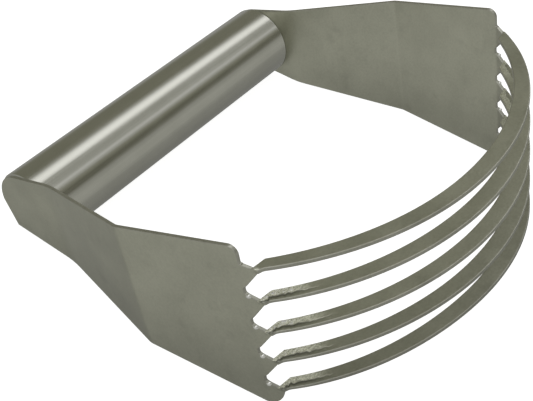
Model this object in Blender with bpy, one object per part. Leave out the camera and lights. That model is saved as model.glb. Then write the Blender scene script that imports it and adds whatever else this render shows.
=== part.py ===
"""Pastry blender: a round tube handle held between the two arms of one formed stainless sheet strip,
which carries five curved blades.

The parts are drawn in a design frame and hung on one empty that lays the tool down as it rests on a table.
Design frame: +X along the handle, +Y from the blades towards the handle, +Z across the five blades,
with the origin on the handle's axis, half way along it. Metres throughout.
"""

from math import acos, asin, atan2, cos, hypot, pi, radians, sin, tan

import bmesh
import bpy
from mathutils import Vector

# ---- driving dimensions -------------------------------------------------------------------------------

TUBE_RADIUS = 0.0111
TUBE_WALL = 0.0009
TUBE_HALF_LENGTH = 0.0500
TUBE_SIDES = 72

SHEET = 0.0010
GAP = 0.0003

CAP_DEPTH = 0.0060
CAP_WALL = 0.0008

# One arm, seen along Z: the points where the middle of the sheet is bent, as (x, y).
TAB_X = TUBE_HALF_LENGTH + GAP + SHEET / 2
HANDLE_BEND = (TAB_X, -0.0137)
MIDDLE_BEND = (0.0587, -0.0493)
FINGER_BEND = (0.0552, -0.0848)
FINGER_END = (0.0538, -0.0881)
BEND_RADIUS = 0.0035
BEND_STEPS = 5

# The same arm's half width at those places.
TAB_END_RADIUS = 0.0107
TAB_ARC_END = radians(178.0)
TAB_CORNER = (0.0085, -0.0083)
TAB_END_STEPS = 20
HANDLE_BEND_HALF_WIDTH = 0.0129
MIDDLE_BEND_HALF_WIDTH = 0.0190
FINGER_HALF_WIDTH = 0.0245
UPPER_CORNER_RADIUS = 0.0022
LOWER_CORNER_RADIUS = 0.0055

BLADES = 5
BLADE_PITCH = 0.0090
BLADE_CENTRE_Y = -0.0426
BLADE_RADIUS = 0.0692
BLADE_WIDTH_MIDDLE = 0.0044
BLADE_WIDTH_ROOT = 0.0029
BLADE_WIDTH_END = 0.0021
BLADE_ROOT_ANGLE = radians(49.3)
SHOULDER_ANGLE = radians(0.9)
BLADE_STEPS = 40

# The fingers between arm and blades. Each ends in a short slanted line, whose two ends stand this far above
# and below its blade's middle; the V notches between them have rounded bottoms.
TIP_ABOVE = 0.0005
TIP_BELOW = 0.0006
TIP_TOP_Y = -0.0866
NOTCH_Y = -0.0842
NOTCH_HIGH = 0.0034
NOTCH_LOW = 0.0021
NOTCH_RADIUS = 0.0004
CORNER_Y = -0.0845
TOP_STEP = (-0.0849, 0.0013)
TOP_STEP_FOOT = 0.0010
LOWER_CORNER_Y = -0.0876


# ---- scene and materials ------------------------------------------------------------------------------


def clear_scene():
    for obj in list(bpy.data.objects):
        bpy.data.objects.remove(obj, do_unlink=True)


def steel(name, colour, roughness):
    material = bpy.data.materials.new(name)
    material.use_nodes = True
    shader = material.node_tree.nodes["Principled BSDF"]
    shader.inputs["Base Color"].default_value = (*colour, 1.0)
    shader.inputs["Roughness"].default_value = roughness
    shader.inputs["Metallic"].default_value = 1.0
    return material


def add_object(name, body, material, parent):
    mesh = bpy.data.meshes.new(name)
    bmesh.ops.recalc_face_normals(body, faces=body.faces)
    body.to_mesh(mesh)
    body.free()
    mesh.materials.append(material)
    mesh.shade_smooth()
    mesh.set_sharp_from_angle(angle=radians(25))
    obj = bpy.data.objects.new(name, mesh)
    bpy.context.scene.collection.objects.link(obj)
    obj.parent = parent
    return obj


# ---- outlines -----------------------------------------------------------------------------------------


def fillet(before, corner, after, radius, steps=6):
    """Points of the arc that rounds a corner between two straight edges."""
    corner = Vector(corner)
    back = (Vector(before) - corner).normalized()
    ahead = (Vector(after) - corner).normalized()
    half = acos(max(-1.0, min(1.0, back.dot(ahead)))) / 2
    centre = corner + (back + ahead).normalized() * (radius / sin(half))
    start = corner + back * (radius / tan(half)) - centre
    end = corner + ahead * (radius / tan(half)) - centre
    turn = start.angle_signed(end)
    points = []
    for step in range(steps + 1):
        angle = -turn * step / steps
        points.append(
            centre
            + Vector(
                (
                    start.x * cos(angle) - start.y * sin(angle),
                    start.x * sin(angle) + start.y * cos(angle),
                )
            )
        )
    return [tuple(point) for point in points]


# ---- the arms' path -----------------------------------------------------------------------------------


class BentPath:
    """The middle line of a folded sheet: straight stretches joined by arcs, by distance along it."""

    def __init__(self, points, radius):
        self.pieces = []
        self.bends = []
        here = Vector(points[0])
        distance = 0.0
        for index in range(1, len(points)):
            corner = Vector(points[index])
            heading = (corner - Vector(points[index - 1])).normalized()
            if index == len(points) - 1:
                self.pieces.append((distance, here, heading, 0.0))
                break
            leaving = (Vector(points[index + 1]) - corner).normalized()
            turn = heading.angle_signed(leaving)
            setback = radius * tan(abs(turn) / 2)
            self.pieces.append((distance, here, heading, 0.0))
            start = corner - heading * setback
            distance += (start - here).length
            self.pieces.append((distance, start, heading, -turn))
            arc = radius * abs(turn)
            self.bends.append((distance, distance + arc))
            distance += arc
            here = corner + leaving * setback
        self.radius = radius

    def at(self, distance):
        """Point, heading and left-hand normal at a distance; straight on beyond both ends."""
        start, point, heading, turn = self.pieces[0]
        for piece in self.pieces:
            if piece[0] <= distance:
                start, point, heading, turn = piece
        travelled = distance - start
        left = Vector((-heading.y, heading.x))
        if not turn:
            return point + heading * travelled, left
        side = 1 if turn > 0 else -1
        angle = travelled / self.radius
        centre = point + left * side * self.radius
        turned = Vector(
            (
                heading.x * cos(angle * side) - heading.y * sin(angle * side),
                heading.x * sin(angle * side) + heading.y * cos(angle * side),
            )
        )
        turned_left = Vector((-turned.y, turned.x))
        return centre - turned_left * side * self.radius, turned_left


def distance_at_y(path, y):
    """Distance along the path at which it reaches a given y."""
    low, high = -0.05, 0.15
    for _ in range(60):
        middle = (low + high) / 2
        if path.at(middle)[0].y > y:
            low = middle
        else:
            high = middle
    return high


# ---- parts --------------------------------------------------------------------------------------------


def turned_body(profile, closed):
    """A body turned around X from (radius, x) points, either a closed loop or an open line with flat ends."""
    body = bmesh.new()
    rings = []
    for radius, x in profile:
        ring = []
        for side in range(TUBE_SIDES):
            angle = 2 * pi * side / TUBE_SIDES
            ring.append(body.verts.new((x, radius * cos(angle), radius * sin(angle))))
        rings.append(ring)
    followers = rings[1:] + rings[:1] if closed else rings[1:]
    for ring, following in zip(rings, followers):
        for side in range(TUBE_SIDES):
            after = (side + 1) % TUBE_SIDES
            body.faces.new((ring[side], ring[after], following[after], following[side]))
    if not closed:
        body.faces.new(rings[0])
        body.faces.new(rings[-1])
    return body


def handle_tube():
    inner = TUBE_RADIUS - TUBE_WALL
    half = TUBE_HALF_LENGTH
    profile = [(TUBE_RADIUS, -half), (TUBE_RADIUS, half), (inner, half), (inner, -half)]
    return turned_body(profile, closed=True)


def end_cap(side):
    """A shallow drawn cup pressed into the tube's end, its flat bottom against the arm's tab."""
    outer = TUBE_RADIUS - TUBE_WALL - GAP
    inner = outer - CAP_WALL
    face = side * TUBE_HALF_LENGTH
    floor = face - side * CAP_WALL
    lip = face - side * CAP_DEPTH
    return turned_body([(outer, face), (outer, lip), (inner, lip), (inner, floor)], closed=False)


def blade_heights():
    """Z of each blade's middle, from the top one down."""
    middle = (BLADES - 1) / 2
    return [BLADE_PITCH * (middle - index) for index in range(BLADES)]


def arm_outline(path):
    """The arm cut flat, as (distance along the path, z), with the distance zero on the handle's axis."""
    axis = distance_at_y(path, 0.0)
    handle_bend = distance_at_y(path, HANDLE_BEND[1])
    middle_bend = distance_at_y(path, MIDDLE_BEND[1])
    corner_line = distance_at_y(path, CORNER_Y)
    tip_top = distance_at_y(path, TIP_TOP_Y)
    tip_low = distance_at_y(path, FINGER_END[1])
    notch_bottom = distance_at_y(path, NOTCH_Y)

    run = handle_bend - axis
    reach = hypot(run, HANDLE_BEND_HALF_WIDTH)
    tangent_angle = atan2(HANDLE_BEND_HALF_WIDTH, run) + acos(TAB_END_RADIUS / reach)

    points = []
    for step in range(TAB_END_STEPS + 1):
        angle = tangent_angle + (TAB_ARC_END - tangent_angle) * step / TAB_END_STEPS
        points.append((axis + TAB_END_RADIUS * cos(angle), TAB_END_RADIUS * sin(angle)))
    points += [
        (axis - TAB_CORNER[0], TAB_CORNER[1]),
        (handle_bend, -HANDLE_BEND_HALF_WIDTH),
        (middle_bend, -MIDDLE_BEND_HALF_WIDTH),
    ]
    heights = list(reversed(blade_heights()))
    lower_corner = (distance_at_y(path, LOWER_CORNER_Y), -FINGER_HALF_WIDTH)
    lowest_tip = (tip_low, heights[0] - TIP_BELOW)
    points += fillet(points[-1], lower_corner, lowest_tip, LOWER_CORNER_RADIUS, 8)
    for height, following in zip(heights, heights[1:]):
        upper_end = (tip_top, height + TIP_ABOVE)
        notch_low = (notch_bottom, height + NOTCH_LOW)
        notch_high = (notch_bottom, height + NOTCH_HIGH)
        next_lower_end = (tip_low, following - TIP_BELOW)
        points += [(tip_low, height - TIP_BELOW), upper_end]
        points += fillet(upper_end, notch_low, notch_high, NOTCH_RADIUS, 3)
        points += fillet(notch_low, notch_high, next_lower_end, NOTCH_RADIUS, 3)
    top = heights[-1]
    points += [
        (tip_low, top - TIP_BELOW),
        (tip_top, top + TIP_ABOVE),
        (distance_at_y(path, TOP_STEP[0]), top + TOP_STEP[1]),
        (corner_line, top + TOP_STEP_FOOT),
    ]
    upper_corner = (corner_line, FINGER_HALF_WIDTH)
    middle_top = (middle_bend, MIDDLE_BEND_HALF_WIDTH)
    points += fillet(points[-1], upper_corner, middle_top, UPPER_CORNER_RADIUS, 5)
    points += [middle_top, (handle_bend, HANDLE_BEND_HALF_WIDTH)]
    return points


def arm(side, path):
    """One arm: the flat blank, cut across at its bends and then folded along the path."""
    body = bmesh.new()
    lower = [body.verts.new((along, across, -SHEET / 2)) for along, across in arm_outline(path)]
    base = body.faces.new(lower)
    grown = bmesh.ops.extrude_face_region(body, geom=[base])
    for vert in grown["geom"]:
        if isinstance(vert, bmesh.types.BMVert):
            vert.co.z = SHEET / 2
    for start, end in path.bends:
        for step in range(BEND_STEPS + 1):
            along = start + (end - start) * step / BEND_STEPS
            everything = body.verts[:] + body.edges[:] + body.faces[:]
            bmesh.ops.bisect_plane(
                body, geom=everything, plane_co=(along, 0, 0), plane_no=(1, 0, 0), dist=1e-7
            )
    for vert in body.verts:
        along, across, depth = vert.co
        point, left = path.at(along)
        place = point + left * depth
        vert.co = (side * place.x, place.y, across)
    bmesh.ops.triangulate(body, faces=body.faces[:])
    return body


def blade_half_width(angle):
    share = (angle / BLADE_ROOT_ANGLE) ** 2
    return (BLADE_WIDTH_MIDDLE + (BLADE_WIDTH_ROOT - BLADE_WIDTH_MIDDLE) * share) / 2


def blade_stations():
    """Inner and outer radius at each angle: the full width, then a slanted shoulder at both ends."""
    stations = []
    for step in range(BLADE_STEPS + 1):
        angle = (BLADE_ROOT_ANGLE - SHOULDER_ANGLE) * (2 * step / BLADE_STEPS - 1)
        half = blade_half_width(angle)
        stations.append((angle, BLADE_RADIUS - half, BLADE_RADIUS + half))
    outer = BLADE_RADIUS + blade_half_width(BLADE_ROOT_ANGLE)
    end = (BLADE_ROOT_ANGLE, outer - BLADE_WIDTH_END, outer)
    return [(-end[0], *end[1:]), *stations, end]


def blade(height):
    body = bmesh.new()
    sections = []
    for angle, inner, outer in blade_stations():
        section = []
        for radius, z in (
            (inner, height - SHEET / 2),
            (outer, height - SHEET / 2),
            (outer, height + SHEET / 2),
            (inner, height + SHEET / 2),
        ):
            place = (radius * sin(angle), BLADE_CENTRE_Y - radius * cos(angle), z)
            section.append(body.verts.new(place))
        sections.append(section)
    for section, following in zip(sections, sections[1:]):
        for corner in range(4):
            after = (corner + 1) % 4
            body.faces.new((section[corner], section[after], following[after], following[corner]))
    body.faces.new(sections[0])
    body.faces.new(sections[-1])
    return body


# ---- how the tool lies --------------------------------------------------------------------------------


def resting_tilt(outline, path):
    """The tilt about X at which the arms' lower edges and the round handle all touch the table."""
    tilt = 0.0
    for along, across in outline:
        point = path.at(along)[0]
        if across >= 0 or point.y > HANDLE_BEND[1]:
            continue
        away = hypot(point.y, across)
        tilt = max(tilt, atan2(-across, -point.y) - asin(TUBE_RADIUS / away))
    return tilt


def lying_pose(tilt):
    """The empty that carries the tool: on the table, with the middle of its footprint at the origin."""
    blade_reach = BLADE_RADIUS + BLADE_WIDTH_MIDDLE / 2 - BLADE_CENTRE_Y
    lowest_blade = blade_heights()[0] + SHEET / 2
    front = blade_reach * cos(tilt) + lowest_blade * sin(tilt)
    pose = bpy.data.objects.new("lying_pose", None)
    bpy.context.scene.collection.objects.link(pose)
    pose.rotation_euler = (-tilt, 0.0, 0.0)
    pose.location = (0.0, (front - TUBE_RADIUS) / 2, TUBE_RADIUS)
    return pose


def main():
    clear_scene()
    path = BentPath(
        [(TAB_X, TUBE_RADIUS), HANDLE_BEND, MIDDLE_BEND, FINGER_BEND, FINGER_END], BEND_RADIUS
    )
    pose = lying_pose(resting_tilt(arm_outline(path), path))
    polished = steel("handle_steel", (0.42, 0.42, 0.38), 0.22)
    satin = steel("sheet_steel", (0.33, 0.33, 0.30), 0.38)
    plain = steel("cap_steel", (0.36, 0.36, 0.34), 0.45)

    add_object("handle_tube", handle_tube(), polished, pose)
    for name, side in (("left", -1), ("right", 1)):
        add_object(f"end_cap_{name}", end_cap(side), plain, pose)
        add_object(f"arm_{name}", arm(side, path), satin, pose)
    for number, height in enumerate(blade_heights(), start=1):
        add_object(f"blade_{number}", blade(height), satin, pose)


main()
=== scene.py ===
"""Looks of the pastry blender: fine meshes, steel materials, studio and camera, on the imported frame.

Every piece is drawn in the tool's own frame: +X along the handle, +Y from the blades towards the
handle, +Z across the five blades, with the origin on the handle's axis, half way along it. The matrix
LYING takes that frame to the row frame, in which the tool lies on the floor. Metres throughout.
"""

from math import acos, atan2, cos, degrees, hypot, pi, radians, sin, tan

import bmesh
import bpy
from mathutils import Matrix, Quaternion, Vector, noise


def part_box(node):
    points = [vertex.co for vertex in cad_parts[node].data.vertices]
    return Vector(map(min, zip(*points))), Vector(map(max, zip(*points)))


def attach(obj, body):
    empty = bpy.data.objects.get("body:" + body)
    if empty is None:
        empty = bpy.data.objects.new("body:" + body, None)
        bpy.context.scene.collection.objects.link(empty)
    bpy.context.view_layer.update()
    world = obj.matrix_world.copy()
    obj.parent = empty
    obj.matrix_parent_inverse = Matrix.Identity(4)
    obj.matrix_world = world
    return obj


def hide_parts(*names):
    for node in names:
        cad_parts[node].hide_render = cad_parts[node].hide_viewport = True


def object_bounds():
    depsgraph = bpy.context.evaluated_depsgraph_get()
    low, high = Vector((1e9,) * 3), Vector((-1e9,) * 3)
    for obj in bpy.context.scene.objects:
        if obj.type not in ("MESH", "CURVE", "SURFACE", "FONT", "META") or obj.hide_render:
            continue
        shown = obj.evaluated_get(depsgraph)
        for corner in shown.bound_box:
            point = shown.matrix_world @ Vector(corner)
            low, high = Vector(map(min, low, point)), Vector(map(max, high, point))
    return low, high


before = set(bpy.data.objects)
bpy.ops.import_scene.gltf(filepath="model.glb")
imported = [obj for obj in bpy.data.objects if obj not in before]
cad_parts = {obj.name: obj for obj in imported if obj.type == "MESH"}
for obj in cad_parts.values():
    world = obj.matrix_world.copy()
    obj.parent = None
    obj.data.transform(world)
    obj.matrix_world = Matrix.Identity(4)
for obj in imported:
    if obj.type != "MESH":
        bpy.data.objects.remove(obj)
cad_low, cad_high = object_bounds()

# ---- dimensions read from the frame --------------------------------------------------------------

BLADES = 5
MM = 0.001

tube_low, tube_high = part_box("handle_tube")
TUBE_CENTRE = (tube_low + tube_high) / 2
TUBE_RADIUS = (tube_high.z - tube_low.z) / 2
TUBE_HALF_LENGTH = (tube_high.x - tube_low.x) / 2

top_low, top_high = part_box("blade_1")
bottom_low, bottom_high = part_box(f"blade_{BLADES}")
stack = (top_low + top_high) / 2 - (bottom_low + bottom_high) / 2
TILT = atan2(stack.y, stack.z)
BLADE_PITCH = stack.length / (BLADES - 1)
LYING = Matrix.Translation(TUBE_CENTRE) @ Matrix.Rotation(-TILT, 4, "X")

# ---- dimensions of the formed strip, as the frame was built --------------------------------------

SHEET = 1.0 * MM
TUBE_WALL = 0.9 * MM
GAP = 0.3 * MM
CAP_DEPTH = 6.0 * MM
CAP_WALL = 0.8 * MM
CAP_EDGE_RADIUS = 0.3 * MM
CAP_HUB_RADIUS = 0.2 * MM

TAB_X = TUBE_HALF_LENGTH + GAP + SHEET / 2
HANDLE_BEND = (TAB_X, -13.7 * MM)
MIDDLE_BEND = (58.7 * MM, -49.3 * MM)
FINGER_BEND = (55.2 * MM, -84.8 * MM)
FINGER_END = (53.8 * MM, -88.1 * MM)
BEND_RADII = (25 * MM, 5 * MM, 3.5 * MM)
TAB_END_RADIUS = 10.7 * MM
TAB_ARC_END = radians(178.0)
TAB_CORNER = (8.5 * MM, -8.3 * MM)
TAB_CORNER_RADIUS = 0.4 * MM
HANDLE_BEND_HALF_WIDTH = 12.9 * MM
MIDDLE_BEND_HALF_WIDTH = 19.0 * MM
FINGER_HALF_WIDTH = 24.5 * MM
HANDLE_CORNER_RADIUS = 4 * MM
UPPER_CORNER_RADIUS = 2.2 * MM
LOWER_CORNER_RADIUS = 4.8 * MM
LOWER_CORNER_Y = -87.6 * MM

TIP_ABOVE = 0.5 * MM
TIP_BELOW = 0.6 * MM
TIP_TOP_Y = -86.6 * MM
NOTCH_Y = -84.2 * MM
NOTCH_HIGH = 3.4 * MM
NOTCH_LOW = 2.1 * MM
NOTCH_RADIUS = 0.4 * MM
CORNER_Y = -84.5 * MM
TOP_STEP = (-84.9 * MM, 1.3 * MM)
TOP_STEP_FOOT = 1.0 * MM
TOP_STEP_RADIUS = 0.4 * MM

BLADE_CENTRE_Y = -42.6 * MM
BLADE_RADIUS = 69.2 * MM
BLADE_WIDTH_MIDDLE = 4.4 * MM
BLADE_WIDTH_ROOT = 3.1 * MM
BLADE_ROOT_ANGLE = radians(49.3)
SHOULDER_START = radians(48.5)
FOLD_DROP = 0.35 * MM

# How far each blade's left end, middle and right end stand above an even spacing.
BLADE_SETS = {
    1: (0.25 * MM, -0.3 * MM, 0.0),
    2: (0.15 * MM, 0.35 * MM, 0.0),
    3: (-0.2 * MM, 0.15 * MM, 0.0),
    4: (-0.4 * MM, 0.15 * MM, 0.0),
    5: (-0.65 * MM, 1.1 * MM, 0.0),
}
SET_MIDDLE = radians(-7)

EDGE_RADIUS = 0.2 * MM
SUPPORT = 0.15 * MM
SHARP_ANGLE = radians(50)

# The forming tool sinks the outer part of a blade's top near its roots, which leaves a ragged crease.
COINING_START = 37.5
COINING_FULL = 46.5
CREASE_OFFSET = 0.25 * MM
CREASE_SWING = 0.7 * MM
CREASE_TEETH = 2.2
CREASE_HALF_WIDTH = 0.06 * MM
CREASE_DEPTH = 0.24 * MM
# Outside the crease the colour is darkened, fading over this distance: painted shade in the crease.
CREASE_SHADE_FADE = 1.0 * MM
# The right-hand ends carry this share of the tool marks and of the painted crease shade.
RIGHT_MARK_AND_SHADE = 0.3

BURR_INSET = 0.75 * MM
BURR_RADIUS = 0.6 * MM
BURR_HEIGHT = 0.28 * MM


# ---- mesh helpers --------------------------------------------------------------------------------


def add_piece(name, body, materials, node):
    """A finished piece in the row frame, standing for one CAD node."""
    bmesh.ops.transform(body, matrix=LYING, verts=body.verts)
    bmesh.ops.recalc_face_normals(body, faces=body.faces)
    mesh = bpy.data.meshes.new(name)
    body.to_mesh(mesh)
    body.free()
    for material in materials:
        mesh.materials.append(material)
    mesh.shade_smooth()
    mesh.set_sharp_from_angle(angle=SHARP_ANGLE)
    piece = bpy.data.objects.new(name, mesh)
    bpy.context.scene.collection.objects.link(piece)
    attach(piece, "root")
    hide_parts(node)
    return piece


def add_sheet_piece(name, body, materials, node):
    """A piece of the strip, kept out of reflections so that the tube's stripes run to its ends."""
    piece = add_piece(name, body, materials, node)
    piece.visible_glossy = False


def smoothstep(low, high, value):
    share = max(0.0, min(1.0, (value - low) / (high - low)))
    return share * share * (3 - 2 * share)


def fillet(before, corner, after, radius, steps):
    """Points of the arc that rounds a corner between two straight edges."""
    corner = Vector(corner)
    back = (Vector(before) - corner).normalized()
    ahead = (Vector(after) - corner).normalized()
    half = acos(max(-1.0, min(1.0, back.dot(ahead)))) / 2
    centre = corner + (back + ahead).normalized() * (radius / sin(half))
    start = corner + back * (radius / tan(half)) - centre
    end = corner + ahead * (radius / tan(half)) - centre
    turn = start.angle_signed(end)
    points = []
    for step in range(steps + 1):
        spoke = start.copy()
        spoke.rotate(Matrix.Rotation(-turn * step / steps, 2))
        points.append(tuple(centre + spoke))
    return points


def rounded_edge_profile(thickness, radius, steps):
    """(inset, height) from one face of a sheet round its edge to the other face."""
    half = thickness / 2
    lower = [(radius + SUPPORT, -half)]
    for step in range(steps + 1):
        angle = pi / 2 * step / steps
        lower.append((radius * (1 - sin(angle)), -half + radius * (1 - cos(angle))))
    return lower + [(inset, -height) for inset, height in reversed(lower)]


def inset_outline(outline, amount):
    """The closed outline moved inwards; it runs anticlockwise."""
    moved = []
    count = len(outline)
    for index, here in enumerate(outline):
        here = Vector(here)
        incoming = (here - Vector(outline[index - 1])).normalized()
        leaving = (Vector(outline[(index + 1) % count]) - here).normalized()
        first = Vector((-incoming.y, incoming.x))
        second = Vector((-leaving.y, leaving.x))
        moved.append(here + (first + second) * (amount / (1 + first.dot(second))))
    return moved


# ---- arms ----------------------------------------------------------------------------------------


class BentPath:
    """The middle line of the folded sheet: straight stretches joined by arcs, by distance along it."""

    def __init__(self, points, radii):
        self.pieces = []
        self.bends = []
        here = Vector(points[0])
        distance = 0.0
        for index in range(1, len(points)):
            corner = Vector(points[index])
            heading = (corner - Vector(points[index - 1])).normalized()
            self.pieces.append((distance, here, heading, 0.0, 0.0))
            if index == len(points) - 1:
                break
            leaving = (Vector(points[index + 1]) - corner).normalized()
            turn = heading.angle_signed(leaving)
            radius = radii[index - 1]
            setback = radius * tan(abs(turn) / 2)
            start = corner - heading * setback
            distance += (start - here).length
            self.pieces.append((distance, start, heading, -turn, radius))
            self.bends.append((distance, distance + radius * abs(turn)))
            distance += radius * abs(turn)
            here = corner + leaving * setback

    def at(self, distance):
        """Point and left-hand normal at a distance; straight on beyond both ends."""
        start, point, heading, turn, radius = self.pieces[0]
        for piece in self.pieces:
            if piece[0] <= distance:
                start, point, heading, turn, radius = piece
        left = Vector((-heading.y, heading.x))
        if not turn:
            return point + heading * (distance - start), left
        side = 1 if turn > 0 else -1
        centre = point + left * side * radius
        left.rotate(Matrix.Rotation(side * (distance - start) / radius, 2))
        return centre - left * side * radius, left

    def distance_at_y(self, y):
        low, high = -0.05, 0.15
        for _ in range(60):
            middle = (low + high) / 2
            if self.at(middle)[0].y > y:
                low = middle
            else:
                high = middle
        return high


def set_height(number, angle):
    """A blade's height at an angle round its arc, with its own slight set."""
    left, middle, right = BLADE_SETS[number]
    nominal = BLADE_PITCH * ((BLADES + 1) / 2 - number)
    if angle < SET_MIDDLE:
        return nominal + left + (middle - left) * smoothstep(-BLADE_ROOT_ANGLE, SET_MIDDLE, angle)
    return nominal + middle + (right - middle) * smoothstep(SET_MIDDLE, BLADE_ROOT_ANGLE, angle)


def arm_outline(path, heights):
    """The arm cut flat, as (distance along the path, z), anticlockwise from the tab's round end."""
    axis = path.distance_at_y(0.0)
    handle_bend = path.distance_at_y(HANDLE_BEND[1])
    middle_bend = path.distance_at_y(MIDDLE_BEND[1])
    corner_line = path.distance_at_y(CORNER_Y)
    tip_top = path.distance_at_y(TIP_TOP_Y)
    tip_low = path.distance_at_y(FINGER_END[1])
    notch_bottom = path.distance_at_y(NOTCH_Y)

    run = handle_bend - axis
    reach = hypot(run, HANDLE_BEND_HALF_WIDTH)
    tangent_angle = atan2(HANDLE_BEND_HALF_WIDTH, run) + acos(TAB_END_RADIUS / reach)
    points = []
    arc_steps = 48
    for step in range(arc_steps + 1):
        angle = tangent_angle + (TAB_ARC_END - tangent_angle) * step / arc_steps
        points.append((axis + TAB_END_RADIUS * cos(angle), TAB_END_RADIUS * sin(angle)))
    lower_handle = (handle_bend, -HANDLE_BEND_HALF_WIDTH)
    lower_middle = (middle_bend, -MIDDLE_BEND_HALF_WIDTH)
    lower_corner = (path.distance_at_y(LOWER_CORNER_Y), -FINGER_HALF_WIDTH)
    lowest_tip = (tip_low, heights[0] - TIP_BELOW)
    tab_corner = (axis - TAB_CORNER[0], TAB_CORNER[1])
    points += fillet(points[-1], tab_corner, lower_handle, TAB_CORNER_RADIUS, 5)
    points += fillet(tab_corner, lower_handle, lower_middle, HANDLE_CORNER_RADIUS, 4)
    points.append(lower_middle)
    points += fillet(lower_middle, lower_corner, lowest_tip, LOWER_CORNER_RADIUS, 14)
    for height, following in zip(heights, heights[1:]):
        upper_end = (tip_top, height + TIP_ABOVE)
        notch_low = (notch_bottom, height + NOTCH_LOW)
        notch_high = (notch_bottom, height + NOTCH_HIGH)
        next_lower_end = (tip_low, following - TIP_BELOW)
        points += [(tip_low, height - TIP_BELOW), upper_end]
        points += fillet(upper_end, notch_low, notch_high, NOTCH_RADIUS, 6)
        points += fillet(notch_low, notch_high, next_lower_end, NOTCH_RADIUS, 6)
    top = heights[-1]
    step_top = (path.distance_at_y(TOP_STEP[0]), top + TOP_STEP[1])
    step_foot = (corner_line, top + TOP_STEP_FOOT)
    upper_corner = (corner_line, FINGER_HALF_WIDTH)
    upper_middle = (middle_bend, MIDDLE_BEND_HALF_WIDTH)
    upper_handle = (handle_bend, HANDLE_BEND_HALF_WIDTH)
    points += [(tip_low, top - TIP_BELOW), (tip_top, top + TIP_ABOVE)]
    points += fillet(points[-1], step_top, step_foot, TOP_STEP_RADIUS, 4)
    points += fillet(step_top, step_foot, upper_corner, TOP_STEP_RADIUS, 4)
    points += fillet(step_foot, upper_corner, upper_middle, UPPER_CORNER_RADIUS, 10)
    points.append(upper_middle)
    points += fillet(upper_middle, upper_handle, points[0], HANDLE_CORNER_RADIUS, 4)
    return points


def burr(body, along, across):
    """A small swelling on the outer face, at the foot of a notch; its finish has a bright tone that
    paints a glint on it.
    """
    place = Matrix.Translation((along, across, SHEET / 2 - BURR_RADIUS / 3))
    flat = Matrix.Diagonal((1.0, 1.0, (BURR_HEIGHT + BURR_RADIUS / 3) / BURR_RADIUS, 1.0))
    made = bmesh.ops.create_icosphere(
        body, subdivisions=3, radius=BURR_RADIUS, matrix=place @ flat, calc_uvs=False
    )
    for vert in made["verts"]:
        for face in vert.link_faces:
            face.material_index = 2


def arm(side, path):
    """The flat blank with rounded edges, cut across along its bends, then folded along the path."""
    body = bmesh.new()
    heights = [set_height(number, side * BLADE_ROOT_ANGLE) for number in range(BLADES, 0, -1)]
    outline = arm_outline(path, heights)
    profile = rounded_edge_profile(SHEET, EDGE_RADIUS, 4)
    rings = []
    for inset, height in profile:
        moved = inset_outline(outline, inset)
        rings.append([body.verts.new((along, across, height)) for along, across in moved])
    for ring, following in zip(rings, rings[1:]):
        for index in range(len(ring)):
            after = (index + 1) % len(ring)
            face = body.faces.new((ring[index], ring[after], following[after], following[index]))
            face.material_index = 1
    for quad in body.faces:
        levels = {round(vert.co.z / SHEET, 3) for vert in quad.verts}
        if levels in ({-0.5}, {0.5}):
            quad.material_index = 0
    body.faces.new(rings[0])
    body.faces.new(rings[-1])

    cuts = []
    bend_steps = 12
    for start, end in path.bends:
        cuts += [start - SUPPORT * 2, end + SUPPORT * 2]
        cuts += [start + (end - start) * step / bend_steps for step in range(bend_steps + 1)]
    for along in sorted(cuts):
        everything = body.verts[:] + body.edges[:] + body.faces[:]
        bmesh.ops.bisect_plane(
            body, geom=everything, plane_co=(along, 0, 0), plane_no=(1, 0, 0), dist=1e-7
        )
    for height in heights[:-1]:
        burr(body, path.distance_at_y(NOTCH_Y) + BURR_INSET, height + NOTCH_LOW - BURR_INSET)
    for vert in body.verts:
        along, across, depth = vert.co
        point, left = path.at(along)
        place = point + left * depth
        vert.co = (side * place.x, place.y, across)
    return body


# ---- blades --------------------------------------------------------------------------------------


def blade_half_width(angle):
    share = (angle / BLADE_ROOT_ANGLE) ** 2
    return (BLADE_WIDTH_MIDDLE + (BLADE_WIDTH_ROOT - BLADE_WIDTH_MIDDLE) * share) / 2


def on_arc(radius, angle):
    return Vector((radius * sin(angle), BLADE_CENTRE_Y - radius * cos(angle)))


def half_blade_stations():
    """(inner point, outer point, drop outside, angle) from the blade's middle to its right fold."""
    stations = []
    steps = 84
    for step in range(steps + 1):
        angle = SHOULDER_START * step / steps
        reach = blade_half_width(angle)
        inner, outer = on_arc(BLADE_RADIUS - reach, angle), on_arc(BLADE_RADIUS + reach, angle)
        stations.append((inner, outer, 0.0, angle))
    along = (Vector(FINGER_END) - Vector(FINGER_BEND)).normalized()
    proud = Vector((-along.y, along.x)) * (SHEET / 2)
    fold_outer = Vector(FINGER_END) + proud
    fold_inner = Vector(FINGER_END) - along * ((TIP_TOP_Y - FINGER_END[1]) / -along.y) + proud
    steps = 10
    for step in range(1, steps + 1):
        share = step / steps
        drop = FOLD_DROP * smoothstep(0.3, 1.0, share)
        stations.append((inner.lerp(fold_inner, share), outer.lerp(fold_outer, share), drop, angle))
    return stations


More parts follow.
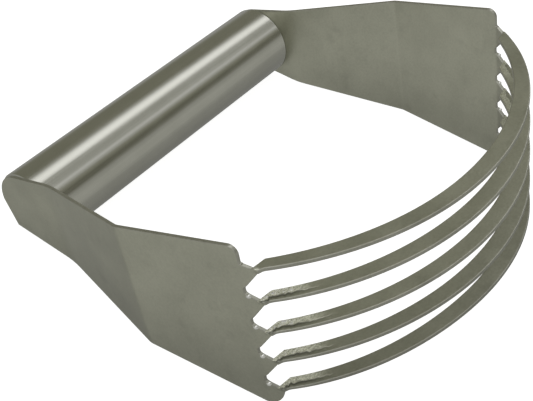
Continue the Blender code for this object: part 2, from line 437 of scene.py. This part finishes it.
def section_points(width, crease, coined):
    """Round a blade's section: (across, through, face). Outside the crease the coined top is sunk."""
    corner_steps = 3
    half_w, half_t = width / 2, SHEET / 2
    points = []
    corner_faces = (("side", "top"), ("top", "side"), ("side", "foot"), ("foot", "side"))
    for turn, faces in enumerate(corner_faces):
        along_w = 1 if turn in (0, 3) else -1
        along_t = 1 if turn in (0, 1) else -1
        centre_w = along_w * (half_w - EDGE_RADIUS)
        centre_t = along_t * (half_t - EDGE_RADIUS)
        before = pi / 2 * turn
        after = before + pi / 2
        start = (centre_w + EDGE_RADIUS * cos(before), centre_t + EDGE_RADIUS * sin(before))
        end = (centre_w + EDGE_RADIUS * cos(after), centre_t + EDGE_RADIUS * sin(after))
        points.append((start[0] + SUPPORT * sin(before), start[1] - SUPPORT * cos(before), faces[0]))
        for step in range(corner_steps + 1):
            angle = before + (after - before) * step / corner_steps
            face = {0: faces[0], corner_steps: faces[1]}.get(step, "edge")
            points.append(
                (centre_w + EDGE_RADIUS * cos(angle), centre_t + EDGE_RADIUS * sin(angle), face)
            )
        points.append((end[0] - SUPPORT * sin(after), end[1] + SUPPORT * cos(after), faces[1]))
        if turn == 0:
            for offset in (2.5, 1.0, -1.0, -2.5):
                points.append((crease + offset * CREASE_HALF_WIDTH, half_t, "top"))
    sunk = CREASE_DEPTH * coined
    return [(w, t - sunk if w > crease and t > 0 else t, face) for w, t, face in points]


def coining(angle, number):
    """How deep the tool has marked the blade's top at this angle; the first blade is unmarked."""
    if number == 1:
        return 0.0
    return smoothstep(radians(COINING_START + number % 3), radians(COINING_FULL), angle)


def blade_ring(station, number):
    """One section of a blade's right half: (place, mark value, face) round it; the mark value is a tool
    mark above zero and painted crease shade below zero.
    """
    inner, outer, drop, angle = station
    coined = coining(angle, number)
    width = (outer - inner).length
    ragged = noise.noise(Vector((degrees(angle) * CREASE_TEETH + inner.x / MM, number * 7.0, 0.0)))
    crease = min(CREASE_OFFSET + CREASE_SWING * ragged, width / 2 - EDGE_RADIUS - 2 * SUPPORT)
    across = ((outer - inner) / width).to_3d()
    centre = ((outer + inner) / 2).to_3d()
    ring = []
    for w, t, face in section_points(width, crease, coined):
        mark_and_shade = 0.0
        # Inside the crease the value marks the coined top; outside it, a value below zero paints shade
        # that fades away from the crease.
        if t > 0 and face != "side":
            mark_and_shade = coined if w < crease else -coined * (1.0 - min(1.0, (w - crease) / CREASE_SHADE_FADE))
        sag = drop * (w / width + 0.5) ** 2
        ring.append((centre + across * w + Vector((0.0, 0.0, t - sag)), mark_and_shade, face))
    return ring


def blade(number):
    body = bmesh.new()
    # Each vertex carries its tool mark, and below zero its painted crease shade.
    marks_and_shade = body.verts.layers.float.new("tool_mark_and_crease_shade")
    half = [blade_ring(station, number) for station in half_blade_stations()]
    mirrored = [
        [(Vector((-p.x, p.y, p.z)), mark_and_shade, face) for p, mark_and_shade, face in ring] for ring in half[1:]
    ]
    rings = []
    for ring in list(reversed(mirrored)) + half:
        verts = []
        for place, mark_and_shade, face in ring:
            angle = atan2(place.x, BLADE_CENTRE_Y - place.y)
            vert = body.verts.new(place + Vector((0.0, 0.0, set_height(number, angle))))
            vert[marks_and_shade] = mark_and_shade * (RIGHT_MARK_AND_SHADE if place.x > 0 else 1.0)
            verts.append((vert, face))
        rings.append(verts)
    count = len(rings[0])
    for ring, following in zip(rings, rings[1:]):
        for index in range(count):
            after = (index + 1) % count
            corners = (ring[index], ring[after], following[after], following[index])
            face = body.faces.new([vert for vert, _ in corners])
            kinds = {kind for _, kind in corners}
            face.material_index = 0 if kinds in ({"top"}, {"foot"}) else 1
    body.faces.new([vert for vert, _ in rings[0]])
    body.faces.new([vert for vert, _ in rings[-1]])
    return body


# ---- handle --------------------------------------------------------------------------------------


def turned_body(profile):
    """A body turned round X from a closed loop of (radius, x) points."""
    sides = 160
    body = bmesh.new()
    rings = []
    for radius, x in profile:
        ring = []
        for side in range(sides):
            angle = 2 * pi * side / sides
            ring.append(body.verts.new((x, radius * cos(angle), radius * sin(angle))))
        rings.append(ring)
    for ring, following in zip(rings, rings[1:] + rings[:1]):
        for side in range(sides):
            after = (side + 1) % sides
            body.faces.new((ring[side], ring[after], following[after], following[side]))
    return body


def rounded_loop(corners, radius, steps=4):
    """The closed outline through the corners, with each corner rounded."""
    points = []
    count = len(corners)
    for index, corner in enumerate(corners):
        points += fillet(corners[index - 1], corner, corners[(index + 1) % count], radius, steps)
    return points


def handle_tube():
    inner = TUBE_RADIUS - TUBE_WALL
    half = TUBE_HALF_LENGTH + GAP / 2
    corners = [(TUBE_RADIUS, -half), (TUBE_RADIUS, half), (inner, half), (inner, -half)]
    return turned_body(rounded_loop(corners, EDGE_RADIUS))


def end_cap(side):
    outer = TUBE_RADIUS - TUBE_WALL - GAP / 2
    inner = outer - CAP_WALL
    face = side * TUBE_HALF_LENGTH
    floor = face - side * CAP_WALL
    lip = face - side * CAP_DEPTH
    cup = [(outer, face), (outer, lip), (inner, lip), (inner, floor)]
    hub = [(CAP_HUB_RADIUS, floor), (CAP_HUB_RADIUS, face)]
    return turned_body(rounded_loop(cup, CAP_EDGE_RADIUS) + hub)


# ---- materials -----------------------------------------------------------------------------------


class Nodes:
    """Short calls for building a node tree."""

    def __init__(self, tree):
        self.tree = tree
        tree.nodes.clear()

    def add(self, kind, inputs=None, **settings):
        node = self.tree.nodes.new(kind)
        for name, value in settings.items():
            setattr(node, name, value)
        for name, value in (inputs or {}).items():
            socket = node.inputs[name]
            if isinstance(value, bpy.types.NodeSocket):
                self.tree.links.new(value, socket)
            else:
                socket.default_value = value
        return node

    def math(self, operation, first, second=0.0, third=0.0):
        node = self.add("ShaderNodeMath", operation=operation)
        for socket, value in zip(node.inputs, (first, second, third)):
            if isinstance(value, bpy.types.NodeSocket):
                self.tree.links.new(value, socket)
            else:
                socket.default_value = value
        return node.outputs[0]

    def noise(self, coordinates, scale, detail=2.0, roughness=0.5):
        node = self.add(
            "ShaderNodeTexNoise",
            {"Vector": coordinates, "Scale": scale, "Detail": detail, "Roughness": roughness},
        )
        return node.outputs["Fac"]

    def remap(self, value, low, high, to_low, to_high):
        node = self.add(
            "ShaderNodeMapRange",
            {"Value": value, "From Min": low, "From Max": high, "To Min": to_low, "To Max": to_high},
        )
        return node.outputs["Result"]


# Noise scales are in features per millimetre.
PATCH_SCALE = 0.09
WAVE_SCALE = 0.07
SMUDGE_SCALE = 0.14
SCUFF_SCALE = 1.8
ROUGHNESS_SWING = 0.06

# The sheet's colour is darkened between two heights across the blades, in millimetres: painted shade
# towards its lower edge.
SHEET_SHADE_BELOW = -18.0
SHEET_UNSHADED_ABOVE = 3.0
SHEET_PAINTED_SHADE = 0.76
SHEET_SMUDGE = 0.91
MARK_LIGHTER = 1.5
# How much the colour darkens beside the blades' creases: painted shade.
PAINTED_CREASE_SHADE = 0.75
MARK_DEPTH = 0.45 * MM

# Each finish has two close tones, its roughness, its grain in features per millimetre along the tool's
# axes, and the depth of the grain and of the slight waves in its surface.
FINISHES = {
    "polished_tube": {
        "dark": (0.49, 0.49, 0.43),
        "light": (0.54, 0.54, 0.48),
        "roughness": 0.2,
        "grain_stretch": (0.02, 2.6, 2.6),
        "grain_depth": 0.004 * MM,
        "wave_depth": 0.02 * MM,
    },
    "satin_sheet": {
        "dark": (0.455, 0.46, 0.375),
        "light": (0.555, 0.56, 0.46),
        "roughness": 0.36,
        "grain_stretch": (1.6, 1.6, 1.6),
        "grain_depth": 0.006 * MM,
        "wave_depth": 0.15 * MM,
        "sheet": True,
    },
    "sheared_edge": {
        "dark": (0.40, 0.40, 0.34),
        "light": (0.52, 0.52, 0.45),
        "roughness": 0.42,
        "grain_stretch": (2.0, 2.0, 0.5),
        "grain_depth": 0.01 * MM,
        "wave_depth": 0.02 * MM,
        "sheet": True,
    },
    # The burr's bright tones are a painted glint; its low roughness and its swelling are its own.
    "burr_painted_glint": {
        "dark": (0.84, 0.84, 0.80),
        "light": (0.90, 0.90, 0.86),
        "roughness": 0.18,
        "grain_stretch": (1.0, 1.0, 1.0),
        "grain_depth": 0.002 * MM,
        "wave_depth": 0.0,
    },
    "drawn_cap": {
        "dark": (0.45, 0.45, 0.41),
        "light": (0.52, 0.52, 0.47),
        "roughness": 0.4,
        "grain_stretch": (1.0, 1.0, 1.0),
        "grain_depth": 0.006 * MM,
        "wave_depth": 0.05 * MM,
    },
}


def tool_coordinates(nodes, stretch=(1.0, 1.0, 1.0)):
    """Millimetres in the tool's own frame, each axis multiplied by its stretch."""
    source = nodes.add("ShaderNodeTexCoord").outputs["Object"]
    moved = nodes.add(
        "ShaderNodeMapping",
        {"Vector": source, "Location": -TUBE_CENTRE},
    ).outputs["Vector"]
    turned = nodes.add(
        "ShaderNodeMapping",
        {"Vector": moved, "Rotation": (TILT, 0.0, 0.0)},
    ).outputs["Vector"]
    scale = tuple(axis / MM for axis in stretch)
    return nodes.add("ShaderNodeMapping", {"Vector": turned, "Scale": scale}).outputs["Vector"]


def shaded_and_marked_sheet(nodes, plain, colour, normal):
    """Paints shade on the sheet towards its lower edge and beside the blades' creases, adds the tool's
    marks, and gives its colour and normal.
    """
    height = nodes.add("ShaderNodeSeparateXYZ", {"Vector": plain}).outputs["Z"]
    mark_and_shade = nodes.add("ShaderNodeAttribute", attribute_name="tool_mark_and_crease_shade").outputs["Fac"]
    scuffs = nodes.noise(plain, SCUFF_SCALE, detail=4.0, roughness=0.7)
    smudges = nodes.noise(plain, SMUDGE_SCALE, detail=2.0, roughness=0.6)
    # Painted shade: the colour darkens towards the sheet's lower edge.
    painted_shade = nodes.remap(height, SHEET_SHADE_BELOW, SHEET_UNSHADED_ABOVE, SHEET_PAINTED_SHADE, 1.0)
    smudged = nodes.remap(smudges, 0.28, 0.42, SHEET_SMUDGE, 1.0)
    raised = nodes.math("MAXIMUM", mark_and_shade, 0.0)
    sunk = nodes.math("MINIMUM", mark_and_shade, 0.0)
    lighter = nodes.math("MULTIPLY", raised, nodes.remap(scuffs, 0.38, 0.62, 0.3, MARK_LIGHTER))
    # Painted shade beside the blades' creases, where the value is below zero.
    crease_shade = nodes.math("MULTIPLY", sunk, PAINTED_CREASE_SHADE)
    share = nodes.math("ADD", nodes.math("ADD", lighter, crease_shade), 1.0)
    share = nodes.math("MULTIPLY", nodes.math("MULTIPLY", share, painted_shade), smudged)
    tinted = nodes.add("ShaderNodeVectorMath", {0: colour}, operation="SCALE")
    nodes.tree.links.new(share, tinted.inputs["Scale"])
    dents = nodes.math("MULTIPLY", scuffs, raised)
    bump = nodes.add(
        "ShaderNodeBump",
        {"Strength": 1.0, "Distance": MARK_DEPTH, "Height": dents, "Normal": normal},
    )
    return tinted.outputs["Vector"], bump.outputs["Normal"]


def steel(name, dark, light, roughness, grain_stretch, grain_depth, wave_depth, sheet=False):
    """Stainless steel: two close tones in soft patches, streaked roughness, grain and slight waves.

    The formed sheet also has painted shade: it is darker towards its lower edge and beside the blades'
    creases. It is roughened where the tool has marked it.
    """
    material = bpy.data.materials.new(name)
    material.use_nodes = True
    nodes = Nodes(material.node_tree)
    plain = tool_coordinates(nodes)
    streaked = tool_coordinates(nodes, grain_stretch)

    patches = nodes.noise(plain, PATCH_SCALE, detail=3.0, roughness=0.55)
    grain = nodes.noise(streaked, 1.0, detail=4.0, roughness=0.6)
    tone = nodes.math("ADD", nodes.math("MULTIPLY", patches, 0.5), nodes.math("MULTIPLY", grain, 0.5))
    colour = nodes.add(
        "ShaderNodeMix",
        {"Factor": nodes.remap(tone, 0.36, 0.64, 0.0, 1.0)},
        data_type="RGBA",
    )
    colour.inputs["A"].default_value = (*dark, 1.0)
    colour.inputs["B"].default_value = (*light, 1.0)
    tinted = colour.outputs["Result"]

    fine = nodes.math("ADD", nodes.math("MULTIPLY", grain, 0.7), nodes.math("MULTIPLY", patches, 0.3))
    rough = nodes.remap(fine, 0.25, 0.75, roughness - ROUGHNESS_SWING, roughness + ROUGHNESS_SWING)

    waves = nodes.noise(plain, WAVE_SCALE, detail=1.0)
    wave_bump = nodes.add(
        "ShaderNodeBump", {"Strength": 1.0, "Distance": wave_depth, "Height": waves}
    ).outputs["Normal"]
    bump = nodes.add(
        "ShaderNodeBump",
        {"Strength": 1.0, "Distance": grain_depth, "Height": grain, "Normal": wave_bump},
    ).outputs["Normal"]

    if sheet:
        tinted, bump = shaded_and_marked_sheet(nodes, plain, tinted, bump)

    shader = nodes.add(
        "ShaderNodeBsdfPrincipled",
        {
            "Base Color": tinted,
            "Metallic": 1.0,
            "Roughness": rough,
            "Normal": bump,
        },
    )
    nodes.add("ShaderNodeOutputMaterial", {"Surface": shader.outputs["BSDF"]})
    return material


# ---- studio --------------------------------------------------------------------------------------

# Brightness round the handle's axis: the angle runs from the back (0) over the top (90) to the front
# (180), and under the tool through -90. What faces right sees one set, and what faces left the other.
RIGHT_BANDS = [
    (-180, 0.51, "grey"),
    (-155, 0.48, "grey"),
    (-143, 0.36, "grey"),
    (-125, 0.34, "grey"),
    (-110, 0.30, "grey"),
    (-85, 0.26, "grey"),
    (-60, 0.265, "grey"),
    (-50, 0.285, "grey"),
    (-40, 0.36, "grey"),
    (-20, 0.40, "grey"),
    (-3, 0.36, "grey"),
    (3, 0.24, "dark"),
    (58, 0.24, "dark"),
    (67, 0.50, "grey"),
    (73, 1.15, "white"),
    (82, 1.50, "white"),
    (92.5, 1.35, "white"),
    (96.5, 0.47, "grey"),
    (122, 0.47, "grey"),
    (129, 0.92, "white"),
    (136, 0.46, "grey"),
    (144, 0.30, "dark"),
    (150, 0.175, "dark"),
    (163, 0.17, "dark"),
    (170, 0.44, "grey"),
]
LEFT_BANDS = [
    (-180, 0.48, "grey"),
    (-90, 0.44, "grey"),
    (-70, 0.44, "grey"),
    (-56, 0.55, "grey"),
    (-45, 0.50, "grey"),
    (0, 0.42, "grey"),
    (60, 0.50, "grey"),
    (90, 1.0, "white"),
    (130, 0.5, "grey"),
    (170, 0.48, "grey"),
]
STUDIO_TINTS = {"grey": (1.0, 1.0, 0.96), "dark": (1.0, 0.99, 0.80), "white": (1.0, 1.0, 1.03)}
FACES_RIGHT = -0.37
FACES_LEFT = -0.6


def band_ramp(nodes, share, bands):
    ramp = nodes.add("ShaderNodeValToRGB", {"Fac": share})
    stops = ramp.color_ramp.elements
    stops.remove(stops[1])
    for index, (degrees_round, brightness, tint) in enumerate(bands):
        place = (degrees_round + 180) / 360
        stop = stops[0] if index == 0 else stops.new(place)
        stop.position = place
        stop.color = (*(brightness * channel for channel in STUDIO_TINTS[tint]), 1.0)
    return ramp.outputs["Color"]


def studio_world():
    """A soft studio: long strips of light and shade that run parallel to the handle."""
    world = bpy.data.worlds.new("studio")
    world.use_nodes = True
    bpy.context.scene.world = world
    nodes = Nodes(world.node_tree)
    direction = nodes.add("ShaderNodeTexCoord").outputs["Generated"]
    parts = nodes.add("ShaderNodeSeparateXYZ", {"Vector": direction})
    angle = nodes.math("ARCTAN2", parts.outputs["Z"], parts.outputs["Y"])
    share = nodes.math("MULTIPLY_ADD", angle, 1 / (2 * pi), 0.5)
    leftness = nodes.remap(parts.outputs["X"], FACES_RIGHT, FACES_LEFT, 0.0, 1.0)
    bands = nodes.add("ShaderNodeMix", {"Factor": leftness}, data_type="RGBA")
    nodes.tree.links.new(band_ramp(nodes, share, RIGHT_BANDS), bands.inputs["A"])
    nodes.tree.links.new(band_ramp(nodes, share, LEFT_BANDS), bands.inputs["B"])
    lit = nodes.add("ShaderNodeBackground", {"Color": bands.outputs["Result"], "Strength": 1.0})
    plain = nodes.add("ShaderNodeBackground", {"Color": (1.0, 1.0, 1.0, 1.0), "Strength": 1.0})
    seen = nodes.add("ShaderNodeLightPath").outputs["Is Camera Ray"]
    both = nodes.add("ShaderNodeMixShader", {"Fac": seen})
    nodes.tree.links.new(lit.outputs[0], both.inputs[1])
    nodes.tree.links.new(plain.outputs[0], both.inputs[2])
    nodes.add("ShaderNodeOutputWorld", {"Surface": both.outputs[0]})


FLOOR_HALF_SIZE = 6.0
FLOOR_GAP = 0.02 * MM
FLOOR_WHITE = (0.5, 0.5, 0.5, 1.0)
FLOOR_GLOW = 0.9


def floor():
    """A pale floor that glows a little, so that the shadows on it stay faint."""
    body = bmesh.new()
    bmesh.ops.create_grid(body, x_segments=1, y_segments=1, size=FLOOR_HALF_SIZE)
    mesh = bpy.data.meshes.new("floor")
    body.to_mesh(mesh)
    body.free()
    obj = bpy.data.objects.new("floor", mesh)
    bpy.context.scene.collection.objects.link(obj)
    obj.location = (0.0, 0.0, cad_low.z - FLOOR_GAP)
    material = bpy.data.materials.new("floor_paper")
    material.use_nodes = True
    shader = material.node_tree.nodes["Principled BSDF"]
    shader.inputs["Base Color"].default_value = FLOOR_WHITE
    shader.inputs["Roughness"].default_value = 0.9
    shader.inputs["Emission Color"].default_value = (1.0, 1.0, 1.0, 1.0)
    shader.inputs["Emission Strength"].default_value = FLOOR_GLOW
    mesh.materials.append(material)
    obj.visible_glossy = False


# ---- camera --------------------------------------------------------------------------------------

CAMERA_AZIMUTH = radians(-49.81)
CAMERA_ELEVATION = radians(42.82)
CAMERA_ROLL = radians(-2.93)
CAMERA_DISTANCE = 260.2 * MM
CAMERA_AIM = Vector((-12.18 * MM, 0.01 * MM, 13.77 * MM))
CAMERA_LENS = 65.45


def camera():
    data = bpy.data.cameras.new("camera")
    data.sensor_width = 36.0
    data.lens = CAMERA_LENS
    data.clip_start = 0.01
    data.clip_end = 50.0
    obj = bpy.data.objects.new("camera", data)
    bpy.context.scene.collection.objects.link(obj)
    level = cos(CAMERA_ELEVATION)
    back = Vector(
        (sin(CAMERA_AZIMUTH) * level, -cos(CAMERA_AZIMUTH) * level, sin(CAMERA_ELEVATION))
    )
    obj.rotation_mode = "QUATERNION"
    obj.location = CAMERA_AIM + back * CAMERA_DISTANCE
    roll = Quaternion(back, CAMERA_ROLL)
    obj.rotation_quaternion = roll @ (-back).to_track_quat("-Z", "Y")
    bpy.context.scene.camera = obj


# ---- the tool ------------------------------------------------------------------------------------


def main():
    bpy.context.scene.view_settings.view_transform = "Standard"
    finishes = {name: steel(name, **finish) for name, finish in FINISHES.items()}
    cut_sheet = [finishes["satin_sheet"], finishes["sheared_edge"]]
    burred_sheet = cut_sheet + [finishes["burr_painted_glint"]]

    path = BentPath(
        [(TAB_X, TUBE_RADIUS), HANDLE_BEND, MIDDLE_BEND, FINGER_BEND, FINGER_END], BEND_RADII
    )
    tube_finish = [finishes["polished_tube"]]
    add_piece("tube_polished", handle_tube(), tube_finish, "handle_tube")
    for name, side in (("left", -1), ("right", 1)):
        cap_finish = [finishes["drawn_cap"]]
        add_piece(f"cap_{name}_drawn", end_cap(side), cap_finish, f"end_cap_{name}")
        formed = arm(side, path)
        add_sheet_piece(f"arm_{name}_formed", formed, burred_sheet, f"arm_{name}")
    for number in range(1, BLADES + 1):
        add_sheet_piece(f"blade_{number}_curved", blade(number), cut_sheet, f"blade_{number}")
    studio_world()
    floor()
    camera()


main()
